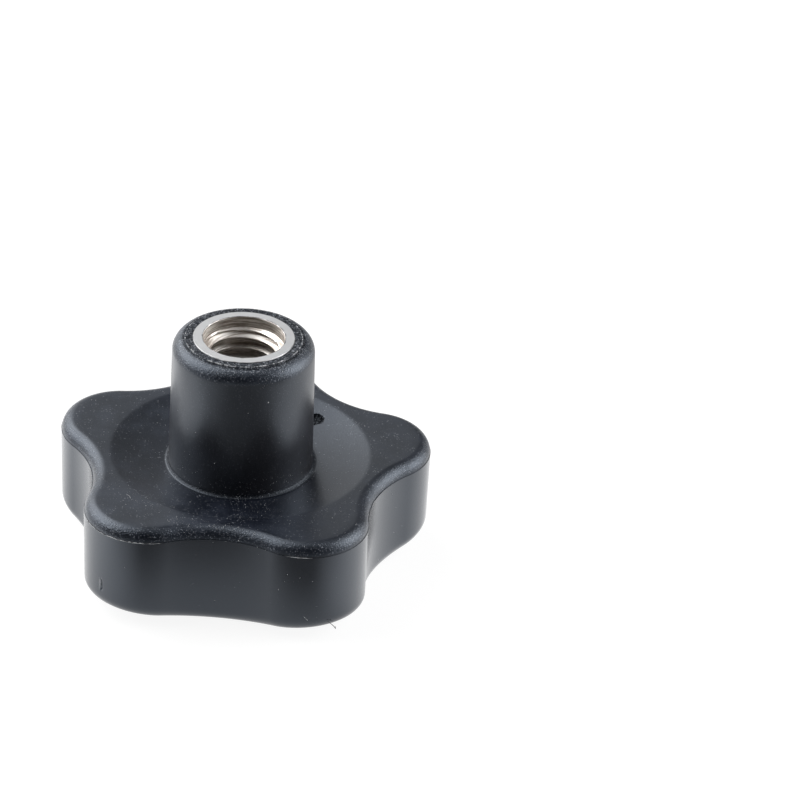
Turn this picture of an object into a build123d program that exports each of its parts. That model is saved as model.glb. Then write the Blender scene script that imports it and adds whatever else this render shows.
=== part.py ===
from build123d import *
import os
from math import cos, hypot, radians, sin, sqrt, tan

# Star knob: a five-lobed moulded grip whose hub boss holds a blind threaded bush.
# Millimetres. The origin is the centre of the bush's seating face, on the thread's
# axis. +Z points out of the boss, and the tip of one lobe lies on +Y.

# Star outline, at the mould's parting line
lobe_count = 5
tip_r = 25.0
waist_r = 19.4
lobe_r = 8.0
wall_draft = 0.5

# Lengths along the axis: the boss from its end to the back face, and the head
boss_l = 16.8
head_l = 14.2

# Crowned grip face, with a dish that leaves a narrow land at the waists
crown_r = 85.0
dish_land = 2.7
dish_depth = 2.5
dish_rim_round = 1.0
grip_round = 2.0

# Back face: edge round, parting step in it, the shallow recess round the boss, and the
# small height by which the face rises from there to the lobes' tips
back_round = 1.6
parting_drop = 1.4
parting_step = 0.07
recess_land = 2.7
recess_depth = 1.5
back_rise = 0.3

# Threaded bush: M10 coarse, blind, tapped below a plain drilled mouth
thread_d = 10.0
thread_pitch = 1.5
tapping_depth = 17.5
drill_point = 118.0
mouth_clearance = 0.2
mouth_depth = 1.5
bush_wall = 1.6
bush_floor = 2.0
bush_proud = 0.1
face_chamfer = 0.2
collar_l = 3.0
neck_l = 1.5
neck_depth = 0.65
knurl_teeth = 24
knurl_depth = 0.45
knurl_rise = 0.1
tail_chamfer = 0.6

# Hub boss moulded round the bush
hub_wall = 2.43
boss_draft = 0.9
shoulder_round = 1.75
foot_round = 0.5
shutoff_step = 0.12

# Well of the mould's gate, in the recess
gate_inset = 2.9
gate_angle = 50.5
gate_r = 1.1
gate_depth = 0.4

# Bush sizes that follow from the thread
tapping_r = (thread_d - thread_pitch) / 2
mouth_r = thread_d / 2 + mouth_clearance
mouth_cone_l = (mouth_r - tapping_r) / tan(radians(drill_point / 2))
drill_tip_l = tapping_r / tan(radians(drill_point / 2))
bush_r = thread_d / 2 + bush_wall
bush_l = tapping_depth + drill_tip_l + bush_floor

# Heights and radii of the moulding that follow
boss_end_z = -bush_proud
back_z = -boss_l
part_z = back_z - parting_drop
rim_z = back_z - head_l
dish_r = waist_r - dish_land
recess_r = waist_r - recess_land
boss_end_r = bush_r + hub_wall
ledge_z = boss_end_z - shutoff_step
foot_z = back_z - recess_depth
foot_r = boss_end_r + (ledge_z - foot_z) * tan(radians(boss_draft))

# Rounds, each limited by the land or wall that it runs out on
shoulder = min(shoulder_round, 0.75 * hub_wall)
grip_edge = min(grip_round, 0.75 * dish_land)
back_edge = min(back_round, 0.75 * recess_land)


def polar(radius, degrees, z=0.0):
    """Point at a radius and an angle round the axis."""
    return Vector(radius * cos(radians(degrees)), radius * sin(radians(degrees)), z)


def star_face(z, inset=0.0):
    """Star outline: convex lobe arcs joined by tangent concave scallop arcs."""
    half = 180.0 / lobe_count
    lobe_at = tip_r - lobe_r
    reach = lobe_at * cos(radians(half))
    gap = waist_r**2 - 2 * reach * waist_r + lobe_at**2 - lobe_r**2
    scallop_at = waist_r + gap / (2 * (lobe_r + reach - waist_r))
    arcs = []
    for lobe in range(lobe_count):
        angle = 90.0 + 2 * half * lobe
        centre = polar(lobe_at, angle, z)
        following = polar(lobe_at, angle + 2 * half, z)
        before = polar(scallop_at, angle - half, z)
        after = polar(scallop_at, angle + half, z)
        start = centre + (before - centre).normalized() * (lobe_r - inset)
        end = centre + (after - centre).normalized() * (lobe_r - inset)
        resume = following + (after - following).normalized() * (lobe_r - inset)
        arcs.append(ThreePointArc(start, polar(tip_r - inset, angle, z), end))
        arcs.append(ThreePointArc(end, polar(waist_r - inset, angle + half, z), resume))
    return make_face(arcs)


class AxialSphere:
    """Sphere about the knob's axis, of which the upper (1) or lower (-1) side is used."""

    def __init__(self, radius, centre_z, side):
        self.radius = radius
        self.centre_z = centre_z
        self.side = side

    def at(self, radius):
        """Point of the sphere in the XZ plane, at a radius from the axis."""
        rise = sqrt(self.radius**2 - radius**2)
        return Vector(radius, 0, self.centre_z + self.side * rise)

    def arc(self, start_r, end_r):
        """Profile arc between two radii."""
        middle = self.at((start_r + end_r) / 2)
        return ThreePointArc(self.at(start_r), middle, self.at(end_r))


def crown():
    """Grip face, through the dish's rim."""
    return AxialSphere(crown_r, rim_z + sqrt(crown_r**2 - dish_r**2), -1)


def dish():
    """Hollow of the grip face."""
    radius = (dish_r**2 + dish_depth**2) / (2 * dish_depth)
    return AxialSphere(radius, rim_z + dish_depth - radius, 1)


def recess():
    """Bowl round the boss, from the boss's foot up to the back face."""
    rise = (recess_r**2 - foot_r**2 - recess_depth**2) / (2 * recess_depth)
    return AxialSphere(hypot(recess_r, rise), back_z + rise, -1)


def turned_blank():
    """All the moulding's round forms in one turned blank, wider than the star."""
    blank_r = tip_r + grip_round
    rise = back_rise * (blank_r - recess_r) / (tip_r - recess_r)
    ledge_r = boss_end_r - shoulder
    shoulder_at = Vector(boss_end_r, 0, ledge_z)
    foot_at = Vector(foot_r, 0, foot_z)
    rim_at = Vector(dish_r, 0, rim_z)
    profile = make_face(
        [
            Line((0, 0, boss_end_z), (ledge_r, 0, boss_end_z)),
            Line((ledge_r, 0, boss_end_z), (ledge_r, 0, ledge_z)),
            Line((ledge_r, 0, ledge_z), shoulder_at),
            Line(shoulder_at, foot_at),
            recess().arc(foot_r, recess_r),
            Line((recess_r, 0, back_z), (blank_r, 0, back_z + rise)),
            Line((blank_r, 0, back_z + rise), crown().at(blank_r)),
            crown().arc(blank_r, dish_r),
            dish().arc(dish_r, 0),
            Line((0, 0, rim_z + dish_depth), (0, 0, boss_end_z)),
        ]
    )
    rounds = [(shoulder_at, shoulder), (foot_at, foot_round), (rim_at, dish_rim_round)]
    for corner, radius in rounds:
        profile = fillet(profile.vertices().sort_by_distance(corner)[0], radius)
    return revolve(profile, Axis.Z)


def outline_edges(shape, low_z, high_z):
    """Edges that run round the star between two heights, without its upright seams."""
    return shape.edges().filter_by(
        lambda edge: abs((edge @ 0).Z - (edge @ 1).Z) < 0.01
        and hypot((edge @ 0.5).X, (edge @ 0.5).Y) > (dish_r + waist_r) / 2
        and low_z < (edge @ 0.5).Z < high_z
    )


def gate_well():
    """Small round well that the mould's gate leaves in the recess."""
    gate_r_at = recess_r - gate_inset
    floor_z = recess().at(gate_r_at).Z - gate_depth
    upright = (Align.CENTER, Align.CENTER, Align.MIN)
    return Pos(polar(gate_r_at, gate_angle, floor_z)) * Cylinder(
        gate_r, gate_depth + recess_depth, align=upright
    )


def grip_moulding():
    """Head and boss: the blank cut to the star on both sides of the parting line."""
    blank = turned_blank()
    front = blank & extrude(star_face(part_z), -head_l, taper=wall_draft)
    front = fillet(outline_edges(front, rim_z, part_z - parting_step), grip_edge)
    back = blank & extrude(star_face(rim_z, parting_step), head_l + boss_l)
    back = fillet(outline_edges(back, part_z, boss_end_z), back_edge)
    back = split(back, Plane.XY.offset(part_z), keep=Keep.TOP)
    return front + back - gate_well() - bush_blank()


def knurled_band(top_z, length):
    """Straight knurl: a prism whose outline runs between tooth tips and roots."""
    tip_at = bush_r + knurl_rise
    step = 180.0 / knurl_teeth
    corners = [
        polar(tip_at - knurl_depth * (corner % 2), step * corner, top_z)
        for corner in range(2 * knurl_teeth)
    ]
    return extrude(make_face(Polyline(*corners, close=True)), -length)


def bush_blank():
    """Outside of the bush: a plain collar, two knurled bands, necks and a tail."""
    hanging = (Align.CENTER, Align.CENTER, Align.MAX)
    band_l = (bush_l - collar_l - 3 * neck_l) / 2
    collar = Cylinder(bush_r, collar_l, align=hanging)
    collar = chamfer(collar.edges().sort_by(Axis.Z)[-1], face_chamfer)
    core = Cylinder(bush_r - neck_depth, bush_l, align=hanging)
    core = chamfer(core.edges().sort_by(Axis.Z)[0], tail_chamfer)
    upper_band = knurled_band(-collar_l - neck_l, band_l)
    lower_band = knurled_band(-collar_l - 2 * neck_l - band_l, band_l)
    return core + collar + upper_band + lower_band


def threaded_bush():
    """Bush with its plain mouth and its blind hole, at the thread's tapping size."""
    hole = make_face(
        Polyline(
            (0, 0, 0),
            (mouth_r, 0, 0),
            (mouth_r, 0, -mouth_depth),
            (tapping_r, 0, -mouth_depth - mouth_cone_l),
            (tapping_r, 0, -tapping_depth),
            (0, 0, -tapping_depth - drill_tip_l),
            close=True,
        )
    )
    return bush_blank() - revolve(hole, Axis.Z)


os.makedirs("parts", exist_ok=True)
export_step(grip_moulding(), "parts/grip_body.step")
export_step(threaded_bush(), "parts/threaded_insert.step")
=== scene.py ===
import bisect
import math
import random

import bmesh
import bpy
from mathutils import Matrix, Vector, noise


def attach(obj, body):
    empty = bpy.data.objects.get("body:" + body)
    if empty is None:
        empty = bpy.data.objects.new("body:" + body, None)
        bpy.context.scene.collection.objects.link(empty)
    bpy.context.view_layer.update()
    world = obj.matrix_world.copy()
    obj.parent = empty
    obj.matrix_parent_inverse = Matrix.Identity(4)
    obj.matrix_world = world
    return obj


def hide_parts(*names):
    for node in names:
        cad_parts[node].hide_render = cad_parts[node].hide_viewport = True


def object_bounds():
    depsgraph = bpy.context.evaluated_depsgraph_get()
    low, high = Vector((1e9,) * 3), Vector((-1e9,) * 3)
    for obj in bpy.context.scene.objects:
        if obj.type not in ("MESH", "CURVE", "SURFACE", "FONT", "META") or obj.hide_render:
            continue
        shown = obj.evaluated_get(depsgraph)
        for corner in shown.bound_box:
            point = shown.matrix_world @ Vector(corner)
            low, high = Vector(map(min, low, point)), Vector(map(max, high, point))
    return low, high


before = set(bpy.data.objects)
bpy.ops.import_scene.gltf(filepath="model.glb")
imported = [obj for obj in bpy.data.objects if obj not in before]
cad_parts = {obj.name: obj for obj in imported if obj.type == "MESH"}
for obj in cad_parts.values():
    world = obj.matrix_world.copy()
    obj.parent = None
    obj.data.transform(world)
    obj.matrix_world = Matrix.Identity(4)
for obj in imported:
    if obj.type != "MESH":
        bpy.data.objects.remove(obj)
cad_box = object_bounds()
floor_z = cad_box[0][2]

# Metres in a millimetre: meshes are worked out in millimetres and scaled at the end
MM = 0.001

# Points closer than this are one point
MERGE_AT = 0.0005

# Star outline
LOBES = 5
TIP_R = 25.0
WAIST_R = 19.4
LOBE_R = 8.0
WALL_DRAFT = math.radians(0.5)
STAR_COLUMNS = 600

# Moulding, from the end of the boss to the grip face
BOSS_END_Z = -0.1
LEDGE_Z = -0.22
LEDGE_R = 7.45
BOSS_END_R = 9.03
BOSS_DRAFT = math.radians(0.9)
SHOULDER = 1.75
FOOT_ROUND = 0.5
RECESS_R = 16.7
RECESS_DEPTH = 1.5
RECESS_EDGE = 0.25
BACK_Z = -16.8
BACK_RISE = 0.3
BACK_ROUND = 1.6
PART_Z = -18.2
PART_STEP = 0.07
RIM_Z = -31.0
CROWN_R = 85.0
DISH_R = 16.7
DISH_DEPTH = 2.5
DISH_RIM_ROUND = 1.0
GRIP_ROUND = 2.0

# Rows of points along each stretch of the moulding
SHOULDER_ROWS = 14
BOSS_SIDE_ROWS = 22
FOOT_ROWS = 8
BOWL_ROWS = 14
BACK_ROWS = 6
BACK_ROUND_ROWS = 14
WALL_ROWS = 12
GRIP_ROUND_ROWS = 10
CROWN_ROWS = 6
DISH_RIM_ROWS = 6
DISH_ROWS = 9

# Torn edges of the moulding: tallest burr on the ledge, how far in from the edge the even end stops
# and the burr's foot and top lie, how far in the top of the flash lies, and the flash's height at
# which its pale painted highlight is full
BURR = 0.08
EVEN_END_IN = 0.12
BURR_FOOT_IN = 0.10
BURR_TOP_IN = 0.07
FLASH_TOP_IN = 0.035
FLASH_FULL_HIGHLIGHT = 0.05

# Gate well, and how much nearer its edge comes on the side away from the boss
GATE_AT_R = 13.8
GATE_ANGLE = math.radians(50.5)
GATE_Z = -17.6
GATE_R = 1.1
GATE_DEPTH = 0.4
GATE_FLATTENED = 0.62

# How far from the middle of the gate well its faces are divided and torn, and how deep
GATE_DIVIDED_R = 2.1
GATE_TORN_R = 1.8
GATE_TORN_Z = 1.2

# Nick on the wall: its two ends, how wide and high its hollow and its lip are, and how far from its
# middle the faces are divided and moved
NICK_TOP = Vector((-14.93, -19.98, -25.1))
NICK_BOTTOM = Vector((-14.77, -20.07, -26.8))
NICK_HOLLOW = 0.16
NICK_HOLLOW_DEPTH = 0.22
NICK_LIP = 0.10
NICK_LIP_HEIGHT = 0.03
NICK_DIVIDED_R = 1.9
NICK_MOVED_R = 1.7

# Threaded bush
BUSH_R = 6.6
BUSH_L = 22.054
FACE_CHAMFER = 0.2
FACE_MIDDLE_R = 5.9
COLLAR_L = 3.0
NECK_L = 1.5
NECK_R = 5.95
KNURL_TEETH = 24
KNURL_TIP_R = 6.7
KNURL_DEPTH = 0.45
TAIL_CHAMFER = 0.6
MOUTH_R = 5.2
MOUTH_DEPTH = 1.5
MOUTH_EDGE = 0.08
TAPPING_R = 4.25
THREAD_R = 5.0
THREAD_PITCH = 1.5
THREAD_END = 17.5
THREAD_AT = -0.88
DRILL_TIP_Z = -20.054
DRILL_SLOPE = math.tan(math.radians(59))
BUSH_COLUMNS = 240

# Thread profile in parts of a pitch: half of the flat at its root, and one flank
ROOT_HALF = 1 / 16
FLANK = (THREAD_R - TAPPING_R) * math.tan(math.radians(30)) / THREAD_PITCH


# ---------------------------------------------------------------- shader helpers


class Value:
    """A shader socket on which Python arithmetic adds Math nodes."""

    def __init__(self, tree, socket):
        self.tree = tree
        self.socket = socket

    def math(self, operation, *others):
        """Result of a Math node on this value and others."""
        return self.tree.add("ShaderNodeMath", {"operation": operation}, [self, *others])

    def __add__(self, other):
        return self.math("ADD", other)

    def __sub__(self, other):
        return self.math("SUBTRACT", other)

    def __rsub__(self, other):
        return self.tree.add("ShaderNodeMath", {"operation": "SUBTRACT"}, [other, self])

    def __mul__(self, other):
        return self.math("MULTIPLY", other)

    def __pow__(self, other):
        return self.math("POWER", other)

    def __lt__(self, other):
        return self.math("LESS_THAN", other)

    __radd__ = __add__
    __rmul__ = __mul__

    def clamp(self):
        """Held between 0 and 1."""
        return self.tree.add("ShaderNodeClamp", {}, [self])

    def ramp(self, low, high):
        """0 at low, 1 at high, and smooth between them. Low may be the greater one."""
        settings = {"interpolation_type": "SMOOTHSTEP"}
        return self.tree.add("ShaderNodeMapRange", settings, [self, low, high, 0.0, 1.0])


class ShaderTree:
    """A material's node tree, to which every node is added by one method."""

    def __init__(self, owner):
        self.owner = owner
        owner.use_nodes = True
        self.tree = owner.node_tree
        self.tree.nodes.clear()

    def feed(self, socket, value):
        """Links a value to a socket, or sets a plain one on it."""
        if isinstance(value, Value):
            self.tree.links.new(value.socket, socket)
        elif value is not None:
            socket.default_value = value

    def add(self, kind, settings, inputs, output=0):
        """Adds a node with its settings and socket values, and gives one of its outputs."""
        node = self.tree.nodes.new(kind)
        for name, value in settings.items():
            setattr(node, name, value)
        pairs = inputs.items() if isinstance(inputs, dict) else enumerate(inputs)
        for key, value in pairs:
            self.feed(node.inputs[key], value)
        return Value(self, node.outputs[output] if node.outputs else None)

    def blend(self, factor, first, second):
        """Colour that goes from first to second as the factor goes from 0 to 1."""
        inputs = {0: factor, 6: first, 7: second}
        return self.add("ShaderNodeMix", {"data_type": "RGBA"}, inputs, 2)

    def place(self):
        """Point on the object, in metres."""
        return self.add("ShaderNodeTexCoord", {}, [], "Object")

    def split(self, vector):
        """The three coordinates of a vector."""
        return [self.add("ShaderNodeSeparateXYZ", {}, [vector], axis) for axis in "XYZ"]

    def noise(self, place, scale, detail=2.0, roughness=0.5):
        """Soft noise round 0.5, with so many waves to the metre."""
        inputs = {"Vector": place, "Scale": scale, "Detail": detail, "Roughness": roughness}
        return self.add("ShaderNodeTexNoise", {}, inputs)

    def bump(self, height, distance):
        """Normal of a relief that is so many metres high."""
        return self.add("ShaderNodeBump", {}, {"Distance": distance, "Height": height})

    def ray(self, kind):
        """1 for rays of a kind, else 0."""
        return self.add("ShaderNodeLightPath", {}, [], "Is %s Ray" % kind)

    def along(self, vector, way):
        """How far a vector reaches along a direction."""
        return self.add("ShaderNodeVectorMath", {"operation": "DOT_PRODUCT"}, [vector, way], "Value")

    def finish(self, surface, kind="ShaderNodeOutputMaterial"):
        """Ends the tree in a surface, and gives the material or world."""
        self.add(kind, {}, {"Surface": surface})
        return self.owner


# ---------------------------------------------------------------- profiles


def arc(centre, radius, start, end, steps):
    """Points on an arc in the plane of radius and height, between two angles in degrees."""
    points = []
    for step in range(steps + 1):
        angle = math.radians(start + (end - start) * step / steps)
        point = (centre[0] + radius * math.cos(angle), centre[1] + radius * math.sin(angle))
        points.append(point)
    return points


def run(start, end, steps):
    """Points on a straight run, without its first one."""
    return [
        (start[0] + (end[0] - start[0]) * step / steps, start[1] + (end[1] - start[1]) * step / steps)
        for step in range(1, steps + 1)
    ]


def smooth(low, high, value):
    """0 below low, 1 above high, smooth between them."""
    part = min(1.0, max(0.0, (value - low) / (high - low)))
    return part * part * (3 - 2 * part)


def knurl_out(angle):
    """How far a straight knurl's outline lies from the axis at an angle."""
    part = angle * KNURL_TEETH / (2 * math.pi) % 1.0
    return KNURL_TIP_R - KNURL_DEPTH * (1 - abs(2 * part - 1))


def bush_outside():
    """Rows of the bush's outside, from its face down: height, radius, and if knurled."""
    band_l = (BUSH_L - COLLAR_L - 3 * NECK_L) / 2
    first = -COLLAR_L - NECK_L
    second = first - band_l - NECK_L
    rows = [(0.0, BUSH_R - FACE_CHAMFER, 0), (-FACE_CHAMFER, BUSH_R, 0)]
    rows += [(-COLLAR_L, BUSH_R, 0), (-COLLAR_L, NECK_R, 0)]
    for top in (first, second):
        rows += [(top, NECK_R, 0), (top, 0.0, 1), (top - band_l, 0.0, 1), (top - band_l, NECK_R, 0)]
    rows += [(-BUSH_L + TAIL_CHAMFER, NECK_R, 0), (-BUSH_L, NECK_R - TAIL_CHAMFER, 0)]
    return rows


def outside_radius(row, angle):
    """Radius of a row of the bush's outside at an angle."""
    return knurl_out(angle) if row[2] else row[1]


# ---------------------------------------------------------------- meshes


def add_piece(name, mesh_work, sharp_angle):
    """Object from a bmesh in millimetres, shaded smooth up to an angle between faces."""
    bmesh.ops.remove_doubles(mesh_work, verts=mesh_work.verts[:], dist=MERGE_AT)
    bmesh.ops.recalc_face_normals(mesh_work, faces=mesh_work.faces[:])
    bmesh.ops.scale(mesh_work, vec=(MM, MM, MM), verts=mesh_work.verts[:])
    mesh = bpy.data.meshes.new(name)
    mesh_work.to_mesh(mesh)
    mesh_work.free()
    mesh.shade_smooth()
    mesh.set_sharp_from_angle(angle=math.radians(sharp_angle))
    piece = bpy.data.objects.new(name, mesh)
    bpy.context.scene.collection.objects.link(piece)
    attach(piece, "root")
    return piece


def skin(mesh_work, columns, turn_shift=0):
    """Faces between neighbouring columns of points, closing round the axis.

    turn_shift rows are skipped where the last column meets the first one.
    """
    verts = [[mesh_work.verts.new(point) for point in column] for column in columns]
    count = len(verts)
    for index in range(count):
        left = verts[index]
        right = verts[(index + 1) % count]
        shift = turn_shift if index == count - 1 else 0
        for row in range(len(left) - 1):
            last = len(right) - 1
            upper = min(last, max(0, row + shift))
            lower = min(last, max(0, row + 1 + shift))
            corners = [left[row], left[row + 1], right[lower], right[upper]]
            if upper == lower:
                corners.pop()
            mesh_work.faces.new(corners)
    return verts


# ---------------------------------------------------------------- threaded bush


def thread_radius(height):
    """Radius of the thread's profile at a height, counted from the middle of a root."""
    part = height / THREAD_PITCH % 1.0
    away = min(part, 1 - part)
    return THREAD_R - (THREAD_R - TAPPING_R) * min(1.0, max(0.0, (away - ROOT_HALF) / FLANK))


def thread_steps():
    """Parts of one pitch at which the thread's profile is taken."""
    crest = ROOT_HALF + FLANK
    parts = [0.0] + [ROOT_HALF + FLANK * step / 4 for step in range(5)]
    parts += [0.5 - (0.5 - crest) / 2, 0.5]
    parts += [1 - part for part in reversed(parts[1:-1])]
    return parts


def bush_piece():
    """Bush with its knurled outside, drilled mouth and right-hand thread."""
    mesh_work = bmesh.new()
    up = Vector((0, 0, 1))
    steps = thread_steps()
    turns = int((THREAD_END - MOUTH_DEPTH) / THREAD_PITCH) + 3
    outer = bush_outside()
    outer_rows = []
    inner_rows = []
    thread_rows = []
    for index in range(BUSH_COLUMNS):
        angle = 2 * math.pi * index / BUSH_COLUMNS
        side = Vector((math.cos(angle), math.sin(angle), 0))

        outside = [side * outside_radius(row, angle) + up * row[0] for row in outer]
        outside.append(Vector((0, 0, -BUSH_L)))
        outer_rows.append(outside)

        mouth = [(BUSH_R - FACE_CHAMFER, 0.0), (FACE_MIDDLE_R, 0.0)]
        mouth += [(MOUTH_R + MOUTH_EDGE, 0.0), (MOUTH_R, -MOUTH_EDGE)]
        mouth += run((MOUTH_R, -MOUTH_EDGE), (MOUTH_R, -MOUTH_DEPTH), 6)
        inner_rows.append([side * radius + up * height for radius, height in mouth])

        base = THREAD_PITCH * index / BUSH_COLUMNS + THREAD_AT
        column = []
        for turn in range(turns):
            for part in steps:
                height = base - THREAD_PITCH * (turn + part)
                height = min(-MOUTH_DEPTH, max(-THREAD_END, height))
                lead = MOUTH_R - (-MOUTH_DEPTH - height) * DRILL_SLOPE
                radius = max(thread_radius(height - base), lead)
                column.append(side * radius + up * height)
        thread_rows.append(column)
    skin(mesh_work, outer_rows)
    skin(mesh_work, inner_rows)
    skin(mesh_work, thread_rows, turn_shift=len(steps))
    tip = Vector((0, 0, DRILL_TIP_Z))
    skin(mesh_work, [[column[-1], column[-1].lerp(tip, 0.5), tip] for column in thread_rows])
    piece = add_piece("threaded_bush", mesh_work, sharp_angle=35)
    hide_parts("threaded_insert")
    return piece


# ---------------------------------------------------------------- moulding


def star_outline(count):
    """Points of the star's outline at even angles: place, way out, way from the axis, and angle."""
    half = math.pi / LOBES
    lobe_at = TIP_R - LOBE_R
    reach = lobe_at * math.cos(half)
    gap = WAIST_R**2 - 2 * reach * WAIST_R + lobe_at**2 - LOBE_R**2
    scallop_at = WAIST_R + gap / (2 * (LOBE_R + reach - WAIST_R))
    scallop_r = scallop_at - WAIST_R
    lobe_centre = Vector((lobe_at, 0, 0))
    scallop_centre = Matrix.Rotation(half, 3, "Z") @ Vector((scallop_at, 0, 0))
    junction = lobe_centre.lerp(scallop_centre, LOBE_R / (LOBE_R + scallop_r))
    junction_angle = math.atan2(junction.y, junction.x)
    samples = []
    for index in range(count):
        angle = 2 * math.pi * index / count
        lobe_angle = math.pi / 2 + 2 * half * round((angle - math.pi / 2) / (2 * half))
        local = angle - lobe_angle
        way = -1.0 if local < 0 else 1.0
        local = abs(local)
        if local < junction_angle:
            radius = lobe_at * math.cos(local)
            radius += math.sqrt(LOBE_R**2 - (lobe_at * math.sin(local)) ** 2)
            point = Vector((radius * math.cos(local), radius * math.sin(local), 0))
            out = (point - lobe_centre).normalized()
        else:
            away = half - local
            radius = scallop_at * math.cos(away)
            radius -= math.sqrt(scallop_r**2 - (scallop_at * math.sin(away)) ** 2)
            point = Vector((radius * math.cos(local), radius * math.sin(local), 0))
            out = (scallop_centre - point).normalized()
        point.y *= way
        out.y *= way
        turn = Matrix.Rotation(lobe_angle, 3, "Z")
        side = Vector((math.cos(angle), math.sin(angle), 0))
        samples.append((turn @ point, turn @ out, side, angle))
    return samples


class Round:
    """Sphere about the axis, given by its radius and the height of its centre."""

    def __init__(self, radius, centre):
        self.radius = radius
        self.centre = centre

    def under(self, radius):
        """Height of its lower half at a radius."""
        return self.centre - math.sqrt(self.radius**2 - radius**2)

    def over(self, radius):
        """Height of its upper half at a radius."""
        return self.centre + math.sqrt(self.radius**2 - radius**2)


def boss_profile():
    """Rows from the pocket's edge over the boss's end, down its side and through the bowl.

    The number of rows on the boss's end comes with them.
    """
    slope = math.tan(BOSS_DRAFT)
    foot_r = BOSS_END_R + (LEDGE_Z - BACK_Z + RECESS_DEPTH) * slope
    rise = (RECESS_R**2 - foot_r**2 - RECESS_DEPTH**2) / (2 * RECESS_DEPTH)
    bowl = Round(math.hypot(RECESS_R, rise), BACK_Z + rise)

    shoulder_z = LEDGE_Z - SHOULDER
    shoulder_r = BOSS_END_R + SHOULDER * slope - SHOULDER / math.cos(BOSS_DRAFT)
    draft = math.degrees(BOSS_DRAFT)
    shoulder = arc((shoulder_r, shoulder_z), SHOULDER, 90, draft, SHOULDER_ROWS)

    # Ball that rolls between the boss's side and the bowl
    ball_z = BACK_Z
    for _ in range(8):
        ball_r = BOSS_END_R + (LEDGE_Z - ball_z) * slope + FOOT_ROUND / math.cos(BOSS_DRAFT)
        ball_z = bowl.centre - math.sqrt((bowl.radius - FOOT_ROUND) ** 2 - ball_r**2)
    last = 360 + math.degrees(math.atan2(ball_z - bowl.centre, ball_r))
    foot = arc((ball_r, ball_z), FOOT_ROUND, 180 + draft, last, FOOT_ROWS)

    rows = run((BUSH_R - FACE_CHAMFER / 2, BOSS_END_Z), (LEDGE_R - EVEN_END_IN, BOSS_END_Z), 3)
    end_rows = len(rows)
    wall = run(shoulder[-1], foot[0], BOSS_SIDE_ROWS)[:-1]
    rows += shoulder + wall + foot
    start = foot[-1][0]
    for step in range(1, BOWL_ROWS + 1):
        radius = start + (RECESS_R - RECESS_EDGE - start) * step / BOWL_ROWS
        rows.append((radius, bowl.under(radius)))
    rows.append((RECESS_R, BACK_Z - 0.01))
    rows.append((RECESS_R + RECESS_EDGE, back_face(RECESS_R + RECESS_EDGE)))
    return rows, end_rows


def back_face(radius):
    """Height of the back face, which rises a little towards the lobes' tips."""
    return BACK_Z + BACK_RISE * (radius - RECESS_R) / (TIP_R - RECESS_R)


def grip_profile():
    """Rows from the dish's rim round to the middle of the dish, and the crown's sphere."""
    crown = Round(CROWN_R, RIM_Z + math.sqrt(CROWN_R**2 - DISH_R**2))
    dish_radius = (DISH_R**2 + DISH_DEPTH**2) / (2 * DISH_DEPTH)
    dish = Round(dish_radius, RIM_Z + DISH_DEPTH - dish_radius)
    inner = CROWN_R - DISH_RIM_ROUND
    outer = dish_radius + DISH_RIM_ROUND

    # Ball inside the crown that touches it and the dish
    ball_z = crown.centre**2 - dish.centre**2 - inner**2 + outer**2
    ball_z /= 2 * (crown.centre - dish.centre)
    ball_r = math.sqrt(inner**2 - (ball_z - crown.centre) ** 2)
    first = math.degrees(math.atan2(ball_z - crown.centre, ball_r))
    last = math.degrees(math.atan2(dish.centre - ball_z, -ball_r)) - 360
    rows = arc((ball_r, ball_z), DISH_RIM_ROUND, first, last, DISH_RIM_ROWS)
    start = rows[-1][0]
    for step in range(1, DISH_ROWS + 1):
        radius = start * (1 - step / DISH_ROWS)
        rows.append((radius, dish.over(radius)))
    return rows, crown


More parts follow.
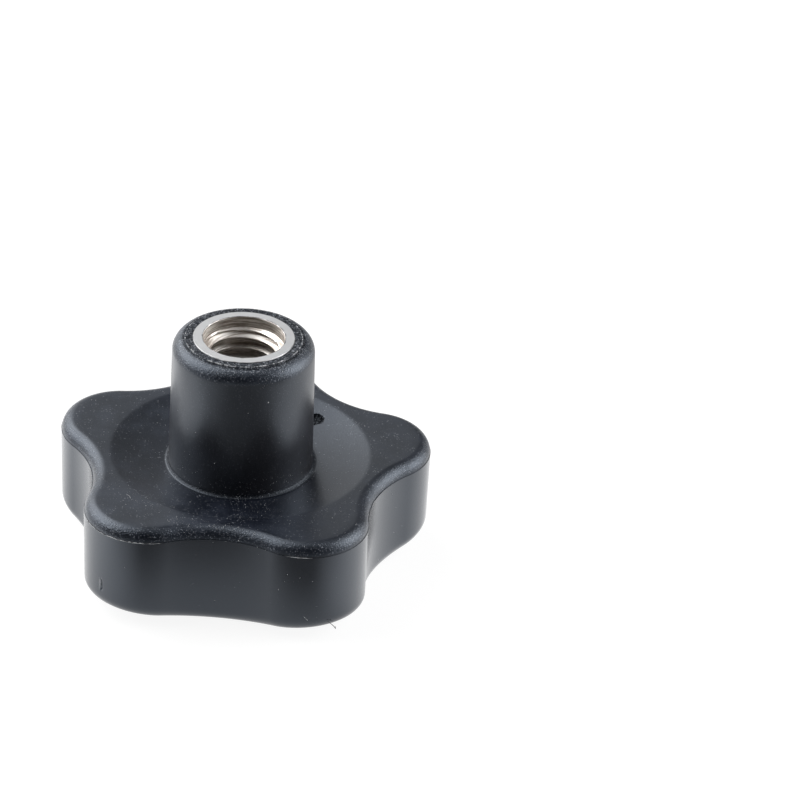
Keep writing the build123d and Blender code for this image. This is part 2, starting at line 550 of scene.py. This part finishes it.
def moulding_column(sample, boss_rows, end_rows, dish_rows, crown):
    """Points of the moulding's skin at one angle, and the painted highlight on the torn ones among them.
    """
    point, out, side, angle = sample
    ledge, burr, flash = ragged_edges(angle)
    pale = {}
    up = Vector((0, 0, 1))

    # Pocket that the bush fills
    column = [side * outside_radius(row, angle) + up * row[0] for row in reversed(bush_outside()[1:])]
    column.insert(0, Vector((0, 0, -BUSH_L)))
    column.append(side * (BUSH_R - FACE_CHAMFER / 2) + up * BOSS_END_Z)

    # Boss's end with its burr and ledge, side, and bowl
    column += [side * radius + up * height for radius, height in boss_rows[:end_rows]]
    edge = LEDGE_R + ledge
    column.append(side * (edge - BURR_FOOT_IN) + up * BOSS_END_Z)
    # The burr's top carries a pale painted highlight, stronger where it stands taller
    pale[len(column)] = pale[len(column) + 1] = burr / BURR
    column.append(side * (edge - BURR_TOP_IN) + up * (BOSS_END_Z + burr))
    column.append(side * edge + up * (BOSS_END_Z + 0.7 * burr))
    column.append(side * (edge + 0.01) + up * LEDGE_Z)
    column += [side * radius + up * height for radius, height in boss_rows[end_rows:]]

    # Back face, and the round that ends at the parting line
    ring = side * boss_rows[-1][0]
    inset = PART_STEP + BACK_ROUND
    edge = point - out * inset
    for step in range(1, BACK_ROWS + 1):
        at = ring.lerp(edge, step / BACK_ROWS)
        column.append(at + up * back_face(at.length))
    ball_z = back_face(edge.length) - BACK_ROUND
    last = math.acos(max(0.0, min(1.0, (PART_Z - ball_z) / BACK_ROUND)))
    for step in range(1, BACK_ROUND_ROWS + 1):
        turn = last * step / BACK_ROUND_ROWS
        at = edge + out * (BACK_ROUND * math.sin(turn))
        column.append(at + up * (ball_z + BACK_ROUND * math.cos(turn)))
    column.append(at + up * PART_Z)
    # The flash carries a pale painted highlight, stronger where it stands taller
    pale[len(column)] = pale[len(column) + 1] = min(1.0, flash / FLASH_FULL_HIGHLIGHT)
    column.append(point - out * FLASH_TOP_IN + up * (PART_Z + flash))
    column.append(point + up * (PART_Z + flash))

    # Wall, and the round at its foot, whose ball touches the wall and the crown
    slope = math.tan(WALL_DRAFT)
    ball_z = RIM_Z + GRIP_ROUND
    for _ in range(6):
        ball = point - out * ((PART_Z - ball_z) * slope + GRIP_ROUND / math.cos(WALL_DRAFT))
        ball_z = crown.centre - math.sqrt((CROWN_R - GRIP_ROUND) ** 2 - ball.length_squared)
    ball = ball + up * ball_z
    facing = (out * math.cos(WALL_DRAFT) - up * math.sin(WALL_DRAFT)).normalized()
    bottom = ball + facing * GRIP_ROUND
    for step in range(WALL_ROWS):
        height = PART_Z - 0.03 + (bottom.z - PART_Z + 0.03) * step / WALL_ROWS
        column.append(point - out * ((PART_Z - height) * slope) + up * height)
    down = (ball - up * crown.centre).normalized()
    for step in range(GRIP_ROUND_ROWS + 1):
        column.append(ball + facing.slerp(down, step / GRIP_ROUND_ROWS) * GRIP_ROUND)

    # Crown and dish
    start = ball + down * GRIP_ROUND
    start.z = 0
    rim = side * dish_rows[0][0]
    for step in range(1, CROWN_ROWS):
        at = start.lerp(rim, step / CROWN_ROWS)
        column.append(at + up * crown.under(at.length))
    column += [side * radius + up * height for radius, height in dish_rows]
    return column, pale


def wander(angle, beats, seed):
    """Smooth noise round the axis, from about -1 to 1."""
    spot = Vector((math.cos(angle) * beats, math.sin(angle) * beats, seed))
    return noise.noise(spot)


# Stretches of torn flash on the parting line: start and end in degrees, and height
FLASH_FADE = 0.8
FLASH = (
    (-141, -128, 0.10),
    (-127, -121, 0.12),
    (-120.5, -113, 0.10),
    (-112, -109, 0.05),
    (-68, -62, 0.06),
    (-38, -35, 0.06),
    (-25, -21, 0.05),
    (28, 36, 0.05),
    (97, 118, 0.06),
    (171, 176, 0.05),
)


def ragged_edges(angle):
    """Outline of the boss's ledge, its burr, and the flash on the parting line."""
    ledge = 0.03 * wander(angle, 9, 3) + 0.04 * wander(angle, 60, 8)
    burr = BURR * smooth(-0.1, 0.5, wander(angle, 14, 21) + 0.7 * wander(angle, 110, 5))
    degrees = (math.degrees(angle) + 180) % 360 - 180
    flash = 0.0
    for start, end, height in FLASH:
        begun = smooth(start - FLASH_FADE, start + FLASH_FADE, degrees)
        ended = smooth(end - FLASH_FADE, end + FLASH_FADE, degrees)
        torn = 0.7 + 0.9 * wander(angle, 80, 33) + 0.9 * wander(angle, 260, 12)
        flash += height * (begun * (1 - ended)) * torn
    return ledge, burr, max(0.0, flash)


def refine(mesh_work, centre, reach):
    """Divides each edge within reach of a point into four."""
    edges = [
        edge
        for edge in mesh_work.edges
        if all((vert.co - centre).length < reach for vert in edge.verts)
    ]
    bmesh.ops.subdivide_edges(mesh_work, edges=edges, cuts=3, use_grid_fill=True)


def tear_gate(mesh_work, torn):
    """Well that the broken-off gate left, with a torn floor and rim."""
    centre = Vector((math.cos(GATE_ANGLE), math.sin(GATE_ANGLE), 0)) * GATE_AT_R
    centre.z = GATE_Z
    refine(mesh_work, centre, GATE_DIVIDED_R)
    for vert in mesh_work.verts:
        away = vert.co - centre
        away.z = 0
        if away.length > GATE_TORN_R or abs(vert.co.z - GATE_Z) > GATE_TORN_Z:
            continue
        rough = noise.noise(vert.co * 1.6 + Vector((3, 7, 1)))
        fine = noise.noise(vert.co * 5.0)
        outward = (away.x * centre.x + away.y * centre.y) / GATE_AT_R
        edge = away.length + 0.30 * rough + 0.14 * fine + GATE_FLATTENED * max(0.0, outward)
        inside = 1 - smooth(GATE_R, GATE_R + 0.18, edge)
        vert[torn] = 1 - smooth(GATE_R + 0.12, GATE_R + 0.3, edge)
        vert.co.z -= inside * (GATE_DEPTH + 0.1 * rough + 0.12 * fine)


def nick_wall(mesh_work, pale):
    """Small upright nick low on the wall of a lobe, with a raised edge that carries a painted highlight.
    """
    middle = (NICK_TOP + NICK_BOTTOM) / 2
    refine(mesh_work, middle, NICK_DIVIDED_R)
    inward = Vector((0.6, 0.8, 0))
    along = Vector((0.8, -0.6, 0))
    for vert in mesh_work.verts:
        if (vert.co - middle).length > NICK_MOVED_R:
            continue
        down = (NICK_TOP.z - vert.co.z) / (NICK_TOP.z - NICK_BOTTOM.z)
        chip = noise.noise(vert.co * 3.1)
        across = (vert.co - middle).dot(along) - 0.06 * math.sin(math.pi * down) - 0.12 * chip
        ends = smooth(-0.1, 0.25, down) * (1 - smooth(0.75, 1.1, down))
        hollow = math.exp(-((across / NICK_HOLLOW) ** 2)) * ends
        lip = math.exp(-(((across + NICK_HOLLOW + NICK_LIP) / NICK_LIP) ** 2)) * ends
        vert.co += inward * (NICK_HOLLOW_DEPTH * hollow - NICK_LIP_HEIGHT * lip)
        vert[pale] = max(vert[pale], (0.3 + 0.5 * chip) * lip)


def moulding_piece():
    """Head and boss in one skin, from the bush's pocket round to the dish."""
    boss_rows, end_rows = boss_profile()
    dish_rows, crown = grip_profile()
    mesh_work = bmesh.new()
    # Per point: strength of the pale painted highlight on torn edges, and where the gate well is torn
    pale = mesh_work.verts.layers.float.new("pale")
    torn = mesh_work.verts.layers.float.new("torn")
    columns = []
    marks = []
    for sample in star_outline(STAR_COLUMNS):
        column, pale_rows = moulding_column(sample, boss_rows, end_rows, dish_rows, crown)
        columns.append(column)
        marks.append(pale_rows)
    verts = skin(mesh_work, columns)
    for column, pale_rows in zip(verts, marks):
        for row, amount in pale_rows.items():
            column[row][pale] = amount
    bmesh.ops.remove_doubles(mesh_work, verts=mesh_work.verts[:], dist=MERGE_AT)
    tear_gate(mesh_work, torn)
    nick_wall(mesh_work, pale)
    piece = add_piece("moulding", mesh_work, sharp_angle=40)
    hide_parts("grip_body")
    return piece


# ---------------------------------------------------------------- dust and lint


DUST_SEED = 11
DUST_COUNT = 2600

# Smallest crumb, and how much larger the largest one is, in millimetres from middle to edge
CRUMB = 0.013
CRUMB_MORE = 0.045

# Larger crumbs: place in millimetres, outward direction and size
BIG_CRUMBS = (
    ((-0.56, -19.34, -27.3), (0.04, -1, 0), 0.09),
    ((8.75, -21.65, -20.85), (-0.16, -0.99, 0), 0.06),
    ((7.67, -21.38, -23.4), (-0.29, -0.96, 0), 0.06),
    ((4.24, -8.07, -4.48), (0.47, -0.88, 0.02), 0.08),
)

# Fibres: start, end, bow and thickness in millimetres
PALE_FIBRES = (
    ((-12.85, -12.95, -16.71), (-12.1, -13.95, -16.71), (0.06, 0.05, 0.02), 0.05),
    ((11.0, -21.63, -27.0), (11.5, -21.6, -27.5), (0.1, 0, -0.1), 0.06),
)
CLINGING_FIBRE = ((13.9, -20.75, -27.9), (15.0, -19.55, -29.3), (0.35, -0.3, -0.5), 0.10)
FIBRE_SIDES = 5
FIBRE_STEPS = 10


def dustiness(point):
    """Chance that a crumb settles at a point in millimetres: most round the boss's foot."""
    radius = math.hypot(point.x, point.y)
    front = -point.y / max(radius, 1.0)
    in_pocket = radius < KNURL_TIP_R and point.z > -24
    on_boss_end = point.z > -2.2
    on_boss_side = point.z > -15.5
    on_back = point.z > -18.15
    if in_pocket:
        return 0.0
    if on_boss_end:
        return 0.85 if radius < 8.6 else 0.25
    if on_boss_side:
        return 0.01 + 0.16 * smooth(11.0, 16.0, -point.z) * smooth(-0.4, 0.6, front)
    if on_back and radius < 14:
        return 0.10 + 0.90 * smooth(0.3, 0.9, front)
    if on_back and radius < 20:
        return 0.10 + 0.75 * smooth(0.5, 0.95, front)
    if point.z > -18.3:
        return 0.16
    return 0.05


def add_crumb(mesh_work, point, out, size, dice):
    """Flat irregular crumb lying on the surface."""
    frame_of = out.to_track_quat("Z", "Y").to_matrix()
    ring = []
    for corner in range(6):
        angle = math.pi * corner / 3 + dice.uniform(-0.3, 0.3)
        reach = size * dice.uniform(0.6, 1.3)
        ring.append(point + frame_of @ Vector((reach * math.cos(angle), reach * math.sin(angle), 0)))
    ring = [mesh_work.verts.new(corner) for corner in ring]
    top = mesh_work.verts.new(point + out * size * dice.uniform(0.4, 0.9))
    bottom = mesh_work.verts.new(point - out * size * 0.3)
    for corner in range(6):
        following = ring[(corner + 1) % 6]
        mesh_work.faces.new((ring[corner], following, top))
        mesh_work.faces.new((following, ring[corner], bottom))


def curl(start, end, bow):
    """Points of a gently curled fibre between two places."""
    start, end, bow = Vector(start), Vector(end), Vector(bow)
    points = []
    for step in range(FIBRE_STEPS + 1):
        part = step / FIBRE_STEPS
        wave = bow * math.sin(math.pi * part) + bow.cross(end - start) * 0.15 * math.sin(5 * part)
        points.append(start.lerp(end, part) + wave)
    return points


def add_fibre(mesh_work, start, end, bow, thickness):
    """Thin curled fibre that tapers to its ends."""
    points = curl(start, end, bow)
    rings = []
    for index, point in enumerate(points):
        before = points[max(0, index - 1)]
        after = points[min(len(points) - 1, index + 1)]
        frame_of = (after - before).to_track_quat("Z", "Y").to_matrix()
        part = index / (len(points) - 1)
        radius = thickness / 2 * (0.3 + 0.7 * math.sin(math.pi * min(1.0, 0.15 + 0.8 * part)))
        ring = []
        for side in range(FIBRE_SIDES):
            angle = 2 * math.pi * side / FIBRE_SIDES
            reach = Vector((radius * math.cos(angle), radius * math.sin(angle), 0))
            ring.append(mesh_work.verts.new(point + frame_of @ reach))
        rings.append(ring)
    for ring, following in zip(rings, rings[1:]):
        for side in range(FIBRE_SIDES):
            across = (side + 1) % FIBRE_SIDES
            mesh_work.faces.new((ring[side], ring[across], following[across], following[side]))
    mesh_work.faces.new(rings[0][::-1])
    mesh_work.faces.new(rings[-1])


def dust_piece(moulding):
    """Crumbs of dust over the moulding, and two pale fibres."""
    dice = random.Random(DUST_SEED)
    mesh = moulding.data
    areas = []
    total = 0.0
    for face in mesh.polygons:
        total += face.area
        areas.append(total)
    mesh_work = bmesh.new()
    made = 0
    while made < DUST_COUNT:
        face = mesh.polygons[bisect.bisect(areas, dice.uniform(0, total))]
        corners = [mesh.vertices[index].co / MM for index in face.vertices]
        one_side = corners[0].lerp(corners[1], dice.random())
        point = one_side.lerp(corners[-1].lerp(corners[-2], dice.random()), dice.random())
        cluster = 0.35 + 1.1 * smooth(-0.10, 0.45, noise.noise(point * 0.30))
        if dice.random() > dustiness(point) * cluster:
            continue
        size = CRUMB + CRUMB_MORE * dice.random() ** 4
        add_crumb(mesh_work, point, face.normal.copy(), size, dice)
        made += 1
    for place, out, size in BIG_CRUMBS:
        add_crumb(mesh_work, Vector(place), Vector(out), size, dice)
    for fibre in PALE_FIBRES:
        add_fibre(mesh_work, *fibre)
    return add_piece("dust", mesh_work, sharp_angle=60)


def lint_piece():
    """Dark curled fibre that clings under the edge of a lobe."""
    mesh_work = bmesh.new()
    add_fibre(mesh_work, *CLINGING_FIBRE)
    return add_piece("lint", mesh_work, sharp_angle=60)


# ---------------------------------------------------------------- finishes


# Colours of the moulding: without and under a film of haze, a painted tone for the upright walls,
# its dust, painted glints on its grains, the pale painted highlight on torn edges, and the black of
# painted shade and darkened patches
BARE = (0.0012, 0.0023, 0.0060, 1)
HAZED = (0.0130, 0.0162, 0.0255, 1)
WALL_PAINTED_TONE = (0.0150, 0.0138, 0.0145, 1)
DUSTY = (0.60, 0.63, 0.69, 1)
PAINTED_GLINT = (0.30, 0.32, 0.37, 1)
TORN_PAINTED_HIGHLIGHT = (0.85, 0.86, 0.88, 1)
PAINTED_DARK = (0.002, 0.002, 0.002, 1)

# Colours of the bush: its face, the dark along its edges, and the bore, with painted shade that darkens
# it deep down
FACE = (0.62, 0.625, 0.635, 1)
FACE_BRIGHT = (0.70, 0.705, 0.715, 1)
EDGE_DARK = (0.07, 0.07, 0.075, 1)
BORE_DARK = (0.36, 0.315, 0.28, 1)
BORE_BRIGHT = (0.88, 0.85, 0.81, 1)
BORE_DEEP_SHADE = (0.20, 0.185, 0.17, 1)

# Darkest and palest colours of dust and lint
DUST_COLOURS = (0.42, 0.43, 0.45, 1), (0.80, 0.81, 0.83, 1)
LINT_COLOURS = (0.006, 0.006, 0.007, 1), (0.03, 0.03, 0.035, 1)


def set_material(piece, material):
    """Gives a piece its only material."""
    piece.data.materials.clear()
    piece.data.materials.append(material)


def new_tree(name):
    """Empty tree of a new material."""
    return ShaderTree(bpy.data.materials.new(name))


def black_moulding():
    """Blue-black satin thermoset: sandy on the back half, smoother on the wall."""
    tree = new_tree("black_moulding")
    place = tree.place()
    x, y, z = tree.split(place)
    radius = (x * x + y * y) ** 0.5
    upright = tree.split(tree.add("ShaderNodeNewGeometry", {}, [], "Normal"))[2]
    pale = tree.add("ShaderNodeAttribute", {"attribute_name": "pale"}, {}, "Fac")
    torn = tree.add("ShaderNodeAttribute", {"attribute_name": "torn"}, {}, "Fac")

    # Places, in metres: above the parting line, the boss's foot and end, rounds, and walls
    back_half = z.ramp(-0.01825, -0.01815)
    boss_foot = (radius - 0.0097).math("ABSOLUTE").ramp(0.0022, 0.0) * (0 - z).ramp(0.0150, 0.0172)
    boss_end = z.ramp(-0.0006, -0.0003)
    rounded = upright.ramp(0.03, 0.25) * upright.ramp(0.985, 0.90) * back_half
    walls = upright.ramp(0.20, 0.03)

    # Haze in patches; its thickening towards the left is painted light that lightens that side
    haze = tree.noise(place, 260.0, 5.0, 0.66).ramp(0.42, 0.66)
    patches = tree.noise(place, 75.0, 3.0, 0.55).ramp(0.38, 0.66)
    haze_and_left_light = (haze * 0.6 + patches * 0.4) * (0.55 + 0.45 * back_half)
    haze_and_left_light = haze_and_left_light * (0.75 + 0.4 * x.ramp(0.010, -0.016))
    colour = tree.blend(haze_and_left_light, BARE, HAZED)
    # Painted light: upright walls take a plainer, less blue grey than the upward faces, by how they face
    colour = tree.blend(0.7 * walls, colour, WALL_PAINTED_TONE)

    # Fine dust, fuzz on the boss's end, painted glints on grains, mostly on the rounds, and a pale
    # painted highlight on torn edges
    sand = tree.noise(place, 5600.0, 1.0)
    crumbs = tree.add("ShaderNodeTexVoronoi", {}, {"Vector": place, "Scale": 2500.0}, "Distance")
    scatter = tree.noise(place, 800.0).ramp(0.44, 0.66)
    dust = (0.27 - crumbs).ramp(0.0, 0.09) * scatter * (0.35 + 0.65 * boss_foot)
    dust = dust * back_half * (1 - 0.75 * walls)
    fuzz = boss_end * sand.ramp(0.50, 0.66) * tree.noise(place, 1500.0).ramp(0.40, 0.6)
    # Painted highlight: glints from the sand, strongest on the rounds
    painted_glints = sand.ramp(0.60, 0.74) * (0.15 + 0.85 * rounded) * back_half
    colour = tree.blend(0.6 * dust + 0.6 * fuzz, colour, DUSTY)
    colour = tree.blend(0.62 * painted_glints, colour, PAINTED_GLINT)
    # Pale painted highlight where the torn flash, burr and nick lip catch the light
    colour = tree.blend(pale, colour, TORN_PAINTED_HIGHLIGHT)

    rough = 0.22 + 0.06 * back_half + 0.08 * haze_and_left_light + 0.1 * boss_end + 0.10 * rounded * boss_foot
    rough = rough + 0.3 * dust + 0.3 * pale

    # Relief: sand on the back half, upright streaks on the wall
    streaks = tree.noise(tree.add("ShaderNodeMapping", {}, {0: place, 3: (1, 1, 0.12)}), 420.0, 3.0)
    fine = tree.noise(place, 12000.0, 1.0)
    streaked = (1 - back_half) * (0.12 * streaks + 0.03 * fine)
    height = back_half * (0.15 + 0.80 * rounded) * sand + streaked + dust * 0.3
    inputs = {
        "Base Color": colour,
        "Roughness": rough,
        "IOR": 1.70,
        "Specular Tint": (0.76, 0.86, 1.0, 1),
        "Normal": tree.bump(height, 0.00007),
    }
    skin_finish = tree.add("ShaderNodeBsdfPrincipled", {}, inputs)

    # Painted shade, as a black matt finish mixed in: in the gate well, on the round at the boss's foot,
    # and as a groove line beside the ledge; the inner part of the boss's end is darkened in speckled
    # patches
    seam_shade = radius.ramp(0.00748, 0.00756) * (1 - radius.ramp(0.00775, 0.00795)) * z.ramp(-0.0010, -0.0007)
    inner_end = boss_end * (1 - radius.ramp(0.00735, 0.00745))
    speckle = tree.noise(place, 3600.0, 2.0, 0.6).ramp(0.62, 0.44)
    ledge_darkening = (seam_shade * 0.75 + inner_end * 0.62) * speckle * (1 - pale).clamp()
    dark = torn * 0.72 + 0.5 * rounded * boss_foot + ledge_darkening
    hollow = tree.add("ShaderNodeBsdfDiffuse", {}, {"Color": PAINTED_DARK})
    return tree.finish(tree.add("ShaderNodeMixShader", {}, [dark.clamp(), skin_finish, hollow]))


def bush_metal():
    """Matt grey cut metal, turned inside its mouth and thread."""
    tree = new_tree("bush_metal")
    place = tree.place()
    x, y, z = tree.split(place)
    radius = (x * x + y * y) ** 0.5
    inside = (radius < 0.00525) * (z < -0.00004)
    deep_shade = (0 - z).ramp(0.0030, 0.0080)

    # Face, darkened along its ragged outer and inner edges
    blotches = tree.noise(place, 800.0, 3.0, 0.6)
    ragged = (tree.noise(place, 900.0, 2.0, 0.6) - 0.5) * 0.0004
    outer_edge_dark = (radius + ragged * 0.5).ramp(0.00636, 0.00648)
    inner_edge_dark = (0.0 - radius - ragged).ramp(-0.00538, -0.00522)
    face = tree.blend(blotches, FACE, FACE_BRIGHT)
    face = tree.blend(0.95 * (outer_edge_dark + inner_edge_dark).clamp(), face, EDGE_DARK)

    # Bore, with rings left by the cutter, and painted shade deep down
    spin = tree.add("ShaderNodeCombineXYZ", {}, [x * 0.05, y * 0.05, z])
    turned = tree.noise(spin, 5200.0, 3.0, 0.65)
    bore = tree.blend(turned.ramp(0.38, 0.62), BORE_DARK, BORE_BRIGHT)
    bore = tree.blend(deep_shade * 0.7, bore, BORE_DEEP_SHADE)

    grain = tree.noise(place, 6500.0, 2.0, 0.6)
    inputs = {
        "Base Color": tree.blend(inside, face, bore),
        "Metallic": 1.0,
        "Roughness": 0.40 - 0.04 * inside + 0.1 * blotches,
        "Normal": tree.bump(turned * inside * 3.0 + grain * 0.8, 0.000014),
    }
    return tree.finish(tree.add("ShaderNodeBsdfPrincipled", {}, inputs))


def matt_material(name, scale, colours, rough):
    """Matt material whose colour wanders between two, in blots."""
    tree = new_tree(name)
    tone = tree.noise(tree.place(), scale, 1.0).ramp(0.3, 0.7)
    inputs = {"Base Color": tree.blend(tone, *colours), "Roughness": rough}
    return tree.finish(tree.add("ShaderNodeBsdfPrincipled", {}, inputs))


# ---------------------------------------------------------------- stage


# Camera: turn about the knob's axis, roll about its own, lens in millimetres, and its place and
# aim in millimetres on a floor at height 0, before the turn
CAMERA_TURN = 6.578
CAMERA_ROLL = 3.167
CAMERA_LENS = 156.16
CAMERA_AT = (0.0, -380.69, 249.63)
CAMERA_AIM = (22.13, 37.46, 0.0)
CAMERA_SIDE = math.radians(CAMERA_TURN - 90)

# Floor: its colour, the colour it has under its glow, and the glow that the camera sees
FLOOR = (0.78, 0.78, 0.78, 1)
FLOOR_UNDER_GLOW = (0.22, 0.22, 0.22, 1)
FLOOR_SEEN = 0.90

# Glow that reflections see in the floor: level, then the sides of the knob and the distances in
# metres between which it fades in, or out where the first one is the greater
FLOOR_GLOW = 0.91
FLOOR_GLOW_LEAST = 0.05
FLOOR_GLOWS = (
    (0.61, ("left", 0.012, 0.050)),
    (-0.10, ("left", 0.050, 0.120)),
    (0.85, ("right", 0.050, 0.120)),
    (-0.35, ("back", 0.020, 0.060), ("right", -0.010, 0.030)),
    (-1.33, ("front", 0.020, 0.050)),
    (0.52, ("front", 0.060, 0.150)),
    (-0.40, ("left", 0.044, 0.056)),
    (-0.22, ("right", 0.044, 0.056)),
    (0.50, ("right", 0.012, 0.024), ("right", 0.058, 0.044), ("front", -0.035, -0.018)),
    (0.35, ("left", 0.012, 0.024), ("left", 0.058, 0.044)),
)

# Glows in the surroundings: turn and rise of their middle, cosines at which they start and are
# full, and level
GLOW_LEAST = 0.02
GLOWS = (
    (180, 25, 0.50, 1.00, 0.34),
    (-155, 27, 0.85, 1.00, 0.25),
    (140, 30, 0.60, 1.00, -0.31),
    (-150, 35, 0.60, 1.00, 0.10),
    (0, 90, 0.50, 1.00, -0.16),
    (-118, 42, 0.68, 0.97, 0.85),
    (-118, 42, 0.00, 0.60, 0.19),
    (-100, 64, 0.85, 0.98, 1.15),
    (-146, 38, 0.85, 0.98, 0.20),
    (-115, 30, 0.85, 0.98, 0.90),
    (100, 58, 0.85, 0.98, 0.45),
    (90, 12, 0.85, 0.98, 1.60),
    (135, 30, 0.85, 0.98, 0.07),
    (97, 30, 0.50, 0.95, 0.37),
)

# How much of the surroundings a matt surface does without, so that its colour renders as written
MATT_SHARE = 0.7

# Softboxes: name, turn and rise, width and height in metres, and level
SOFTBOX_DISTANCE = 0.7
SOFTBOXES = (
    ("right_softbox", 97, 26, 0.58, 0.64, 3.00),
    ("left_softbox", -114, 37, 0.98, 0.66, 1.90),
)


def toward(turn, rise):
    """Direction at an angle anticlockwise from the camera's side, and above the floor."""
    around = CAMERA_SIDE + math.radians(turn)
    flat = math.cos(math.radians(rise))
    return Vector((flat * math.cos(around), flat * math.sin(around), math.sin(math.radians(rise))))


def add_camera():
    """Camera in front of the knob and above it, turned a little about its own axis."""
    data = bpy.data.cameras.new("camera")
    data.sensor_width = 36.0
    data.lens = CAMERA_LENS
    data.clip_end = 10.0
    camera = bpy.data.objects.new("camera", data)
    bpy.context.scene.collection.objects.link(camera)
    spin = Matrix.Rotation(math.radians(CAMERA_TURN), 4, "Z")
    at = spin @ Vector(CAMERA_AT) * MM
    aim = spin @ Vector(CAMERA_AIM) * MM
    look = (aim - at).to_track_quat("-Z", "Y").to_matrix().to_4x4()
    roll = Matrix.Rotation(math.radians(CAMERA_ROLL), 4, "Z")
    camera.matrix_world = Matrix.Translation(at + Vector((0, 0, RIM_Z * MM))) @ look @ roll
    bpy.context.scene.camera = camera


def add_floor():
    """White table, seen as white by the camera, with a faint shadow; in reflections it glows in brighter
    and dimmer zones round the knob.
    """
    bpy.ops.mesh.primitive_plane_add(size=4.0, location=(0, 0, floor_z))
    floor = bpy.context.object
    floor.name = "floor"
    tree = new_tree("floor")
    camera = tree.ray("Camera")
    reflecting = (tree.ray("Glossy") + tree.ray("Transmission")).clamp()
    colour = tree.blend((camera + reflecting).clamp(), FLOOR, FLOOR_UNDER_GLOW)
    paper = tree.add("ShaderNodeBsdfDiffuse", {}, {"Color": colour})

    spot = tree.place()
    right = tree.along(spot, toward(90, 0))
    front = tree.along(spot, toward(0, 0))
    sides = {"right": right, "left": 0 - right, "front": front, "back": 0 - front}
    reflected = FLOOR_GLOW
    for level, *fades in FLOOR_GLOWS:
        for side, start, full in fades:
            level = level * sides[side].ramp(start, full)
        reflected = reflected + level
    reflected = reflected.math("MAXIMUM", FLOOR_GLOW_LEAST)
    strength = camera * FLOOR_SEEN + reflecting * reflected
    glow = tree.add("ShaderNodeEmission", {}, {"Color": (1, 1, 1, 1), "Strength": strength})
    set_material(floor, tree.finish(tree.add("ShaderNodeAddShader", {}, [paper, glow])))


def add_world():
    """Surroundings, darkest behind the camera and brightest on the left and right."""
    world = bpy.data.worlds.new("world")
    bpy.context.scene.world = world
    tree = ShaderTree(world)
    way_out = tree.add("ShaderNodeTexCoord", {}, [], "Generated")
    level = 0.0
    for turn, rise, start, full, glow in GLOWS:
        level = level + glow * tree.along(way_out, toward(turn, rise)).ramp(start, full)
    level = level.math("MAXIMUM", GLOW_LEAST)
    camera = tree.ray("Camera")
    level = level * (1 - MATT_SHARE * tree.ray("Diffuse")) * (1 - camera) + camera
    surface = tree.add("ShaderNodeBackground", {}, {"Color": (1, 1, 1, 1), "Strength": level})
    tree.finish(surface, "ShaderNodeOutputWorld")


def add_softbox(name, turn, rise, width, height, level):
    """Rectangular lamp that faces the knob."""
    data = bpy.data.lights.new(name, "AREA")
    data.shape = "RECTANGLE"
    data.size = width
    data.size_y = height
    data.energy = level * math.pi * width * height
    lamp = bpy.data.objects.new(name, data)
    bpy.context.scene.collection.objects.link(lamp)
    way = toward(turn, rise)
    turned = way.to_track_quat("Z", "Y").to_matrix().to_4x4()
    at = way * SOFTBOX_DISTANCE + Vector((0, 0, floor_z))
    lamp.matrix_world = Matrix.Translation(at) @ turned
    lamp.visible_camera = False


moulding = moulding_piece()
set_material(moulding, black_moulding())
set_material(dust_piece(moulding), matt_material("pale_dust", 1600.0, DUST_COLOURS, 0.9))
set_material(lint_piece(), matt_material("dark_fibre", 9000.0, LINT_COLOURS, 0.75))
set_material(bush_piece(), bush_metal())
add_camera()
add_floor()
add_world()
for softbox in SOFTBOXES:
    add_softbox(*softbox)
bpy.context.scene.view_settings.view_transform = "Standard"
